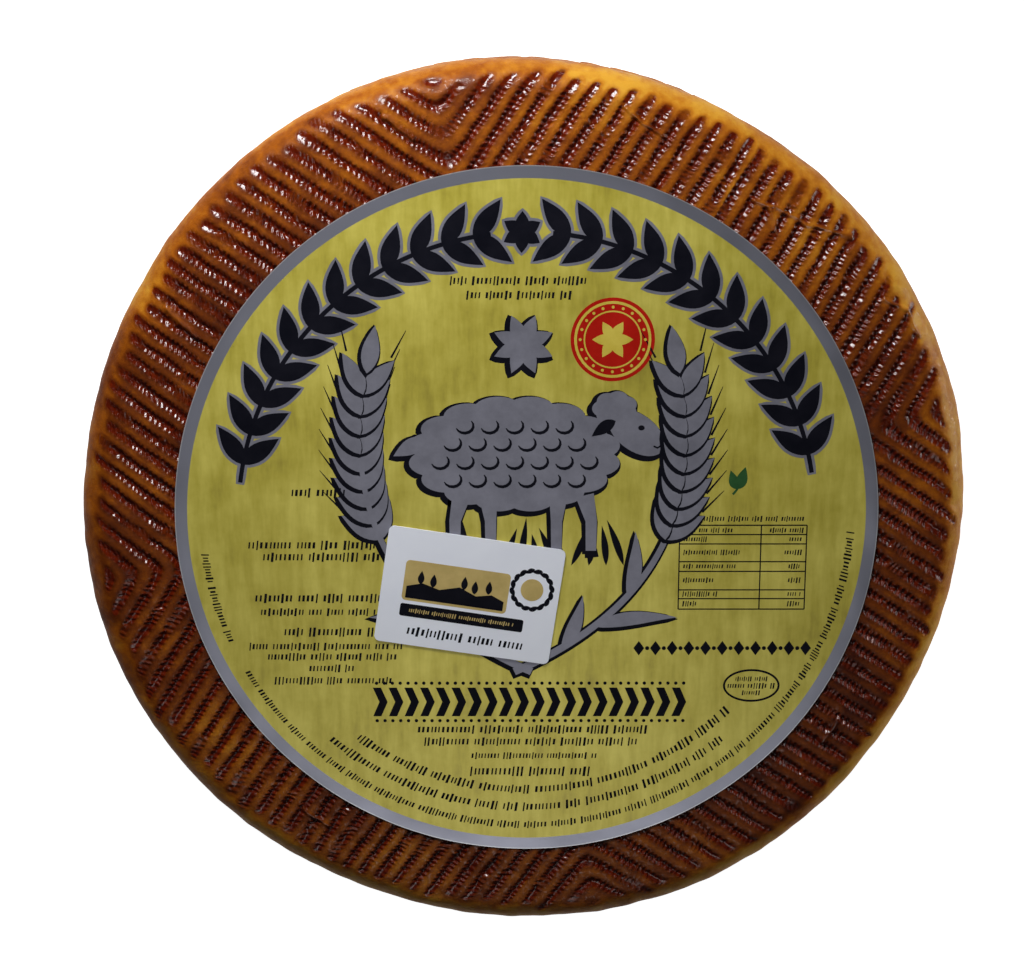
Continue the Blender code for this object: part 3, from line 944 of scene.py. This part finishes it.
black_parts = film(arc_leaves, INK_MIDDLE) + film(rosette + stems, INK_MIDDLE + 0.5 * LIFT_STEP)
for number, shape in enumerate(ears):
    black_parts += film([grown(shape, 0.55) - 0.35], INK_LOW + number * GRAIN_STEP)
black_parts += film([grown(shape, 0.75) - 0.5 for shape in star + [fleece, head, cap, tail]], INK_LOW)
black_parts += film([grown(shape, 0.6) - 0.4 for shape in ear_stems + blades + legs], INK_LOW)
black_parts += film(awns + hooves + grass + frieze + beads + lozenges + pips + rows + rules, INK_LOW)
black_parts += film(curls + [eye, nostril, ear_flap], INK_HIGH + 0.015 * MM)
RING = (53.1, -40.4)
black_parts.append(hoop(oval(*RING, 6.6, 4.0), oval(*RING, 6.1, 3.5), INK_FOOT, INK_LOW))
printed("label_print_black", black_parts, black_ink, "gold_paper")

silver_parts = film([grown(shape, 0.65) for shape in arc_leaves], INK_LOW)
silver_parts += film([grown(shape, 0.65) for shape in rosette + stems], INK_LOW + 0.5 * LIFT_STEP)
for number, shape in enumerate(ears):
    silver_parts += film([shape], INK_LOW + (number + 0.5) * GRAIN_STEP)
silver_parts += film(ear_stems + blades + star, INK_MIDDLE + 0.5 * LIFT_STEP)
silver_parts += film([fleece, tail] + legs, INK_MIDDLE) + film([head, cap], INK_HIGH)
printed("label_print_silver", silver_parts, silver_ink, "gold_paper")

SEAL = np.array([19.9, 40.6])
printed("label_seal", film([oval(*SEAL, 9.4, 9.4, count=72)], INK_LOW), red_ink, "gold_paper")
seal_parts = []
for outer, inner in ((8.6, 8.0), (6.5, 6.15)):
    seal_parts.append(hoop(oval(*SEAL, outer, outer), oval(*SEAL, inner, inner), INK_FOOT, INK_MIDDLE))
seal_parts += film([placed(leaf(4.6, 2.4), *SEAL, k * math.pi / 3) for k in range(6)], INK_MIDDLE)
dots = [oval(*middle, 0.35, 0.35, count=8) for middle in oval(*SEAL, 7.25, 7.25, count=20)]
printed("label_seal_flower", seal_parts + film(dots, INK_MIDDLE), gold_ink, "gold_paper")
sprig = [placed(leaf(5.4, 2.6, 0.8), 48.6, 6.4, 1.1), placed(leaf(4.6, 2.3, -0.8), 48.6, 6.4, 2.1)]
sprig.append(strip([[47.6, 5.2], [48.4, 6.2], [49.0, 7.6]], 0.5))
printed("label_sprig", film(sprig, INK_LOW), green_ink, "gold_paper")

# The tag: a thin white plate with rounded corners, stuck on the label, with its own small print: a panel with
# hills and trees, a wreath round a disc, a dark band and a row of strokes.
TAG_X = -12.3
TAG_Y = -18.5
TAG_TURN = math.radians(-8.5)
TAG_UNDER = LABEL_TOP + 0.08 * MM
TAG_TOP = TAG_UNDER + 0.40 * MM
TAG_INK = TAG_TOP + 0.012 * MM


def rounded_box(x0, y0, x1, y1, corner, steps=8):
    """Outline of a box with round corners, counter-clockwise: four quarter circles."""
    right = x1 - corner
    left = x0 + corner
    top = y1 - corner
    foot = y0 + corner
    outline = []
    for quarter, (x, y) in enumerate(((right, top), (left, top), (left, foot), (right, foot))):
        outline.append(oval(x, y, corner, corner, quarter * 90, quarter * 90 + 90, steps))
    return np.concatenate(outline)


def on_tag(shapes, level):
    """Parts that lie on the tag: outlines in the tag's own mm, up to a level."""
    return film([placed(shape, TAG_X, TAG_Y, TAG_TURN) for shape in shapes], level, TAG_TOP - 0.05 * MM)


WHITE_CLOUDS = {
    "Detail": 3.0,
    "Low": 0.3,
    "High": 0.7,
    "Dark": (0.84, 0.87, 0.96, 1.0),
    "Light": (0.89, 0.92, 1.0, 1.0),
    "Smooth": 0.32,
    "Rough": 0.42,
}
white_plate = clouded_material("white_tag", WHITE_CLOUDS, {"Specular IOR Level": 0.4})
plate = placed([rounded_box(-20.35, -13.8, 20.35, 13.8, 1.3)], TAG_X, TAG_Y, TAG_TURN)
tag = printed("tag_plate", [prisms(plate, TAG_UNDER, TAG_TOP)], white_plate, "white_tag")
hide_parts("seal_tag")

ochre_ink = ink("ochre_ink", (0.50, 0.37, 0.13), (0.62, 0.47, 0.18), 0.0, 0.42)
panel = rounded_box(-15.4, -3.2, 8.8, 6.4, 1.0)
printed("tag_panel", on_tag([panel], TAG_INK), ochre_ink, "white_tag")
HILLS = np.array(
    [
        [-14.6, -2.6], [8.0, -2.6], [8.0, -0.4], [5.0, 0.8], [1.5, 0.0],
        [-2.5, 1.6], [-7.0, 0.3], [-11.0, 1.3], [-14.6, 0.2],
    ]
)
TREE_FEET = ((-11.5, 1.0), (-8.6, 0.6), (-1.5, 1.1), (1.0, 0.4), (4.2, 0.8))
DISC = (14.0, 3.4)
trees = [leaf(3.2, 1.5) @ [[0, 1], [-1, 0]] + foot for foot in TREE_FEET]
wreath = []
for k, foot in enumerate(oval(*DISC, 4.9, 4.9, count=16)):
    wreath.append(placed(leaf(2.5, 1.15, 0.3), *foot, k * math.pi / 8 + 1.95))
band = rounded_box(-15.4, -7.0, 13.2, -4.0, 0.5)
tag_black = on_tag([HILLS] + trees, TAG_INK + 0.012 * MM)
tag_black += on_tag(wreath + [band, strokes(27, 2.3, rng) + [-13.0, -10.4]], TAG_INK)
printed("tag_print", tag_black, black_ink, "white_tag")
band_print = on_tag([strokes(24, 1.1, rng) + [-13.2, -5.5], oval(*DISC, 2.6, 2.6)], TAG_INK + 0.024 * MM)
printed("tag_band_print", band_print, ochre_ink, "white_tag")

# The stage: a plain white floor, the camera above the wheel, a soft key light beyond the far edge, a weak
# fill and a low light from the right. Two more panels show only in what the label and the coat reflect.
CAMERA_PLACE = (AXIS_X - 3.1 * MM, AXIS_Y + 98.3 * MM, TOP + 400 * MM)
CAMERA_AIM = (AXIS_X - 2.53 * MM, AXIS_Y + 7.93 * MM, TOP)
CAMERA_LENS = 63.59


def aimed(name, data, place, aim):
    """A camera or a light at place that looks at aim, with the row's +Y up in its picture."""
    place = Vector(place)
    back = (place - Vector(aim)).normalized()
    right = Vector((0, 1, 0)).cross(back).normalized()
    turn = Matrix((right, back.cross(right), back)).transposed()
    thing = put(name, data)
    thing.matrix_world = Matrix.Translation(place) @ turn.to_4x4()
    return thing


camera_data = bpy.data.cameras.new("camera")
camera_data.lens = CAMERA_LENS
camera_data.sensor_width = 36.0
bpy.context.scene.camera = aimed("camera", camera_data, CAMERA_PLACE, CAMERA_AIM)
bpy.context.scene.view_settings.view_transform = "Standard"


def floor_material():
    """Matt white floor with the faintest tone variation, shown to the camera as plain white.

    It glows at 0.60, at 1.0 to the camera and at 0.25 in reflections.
    """
    material, tree = new_material("floor")
    tones = {"Scale": 3.0, "Dark": (0.52, 0.52, 0.52, 1.0), "Light": (0.58, 0.58, 0.58, 1.0)}
    ray = node(tree, "ShaderNodeLightPath", {}).outputs
    glow = ranged(tree, ray["Is Camera Ray"], first=0.60, last=1.0)
    return dress(
        material,
        {
            "Base Color": clouded(tree, object_place(tree), tones)["Colour"],
            "Roughness": 0.9,
            "Specular IOR Level": 0.1,
            "Emission Color": (1.0, 1.0, 1.0, 1.0),
            "Emission Strength": reckon(tree, "MULTIPLY_ADD", ray["Is Glossy Ray"], -0.35, glow),
        },
    )


FLOOR_HALF = 3.0
floor_corners = [(x * FLOOR_HALF, y * FLOOR_HALF, 0) for x, y in ((-1, -1), (1, -1), (1, 1), (-1, 1))]
floor_mesh = bpy.data.meshes.new("floor")
floor_mesh.from_pydata(floor_corners, [], [(0, 1, 2, 3)])
floor = put("floor", floor_mesh)
floor_mesh.materials.append(floor_material())


def area_light(name, place, aim, size, power):
    """A square softbox at place, facing aim."""
    data = bpy.data.lights.new(name, "AREA")
    data.size = size
    data.energy = power
    return aimed(name, data, place, aim)


area_light("key", (-0.075, 0.25, TOP + 0.155), (0, 0.02, TOP), 0.08, 0.95)
area_light("fill", (0.0, -0.29, 0.55), (0, -0.08, TOP), 0.22, 0.04)
sheen = area_light("sheen", (0.0, -0.42, 0.80), (0, -0.08, TOP), 0.30, 0.80)
sheen.visible_diffuse = False
gleam = area_light("gleam", (-0.13, -0.05, TOP + 0.75), (-0.04, 0.02, TOP), 0.20, 0.10)
gleam.visible_diffuse = False
area_light("low", (0.42, 0.06, TOP + 0.03), (0.10, 0.0, TOP - 0.01), 0.20, 0.60)

world = bpy.data.worlds.new("studio")
world.use_nodes = True
tree = world.node_tree
seen = node(tree, "ShaderNodeLightPath", {}).outputs["Is Camera Ray"]
sky = tree.nodes["Background"].inputs
feed(tree, sky["Color"], (1.0, 1.0, 1.0, 1.0))
feed(tree, sky["Strength"], reckon(tree, "MAXIMUM", seen, 0.02))
bpy.context.scene.world = world
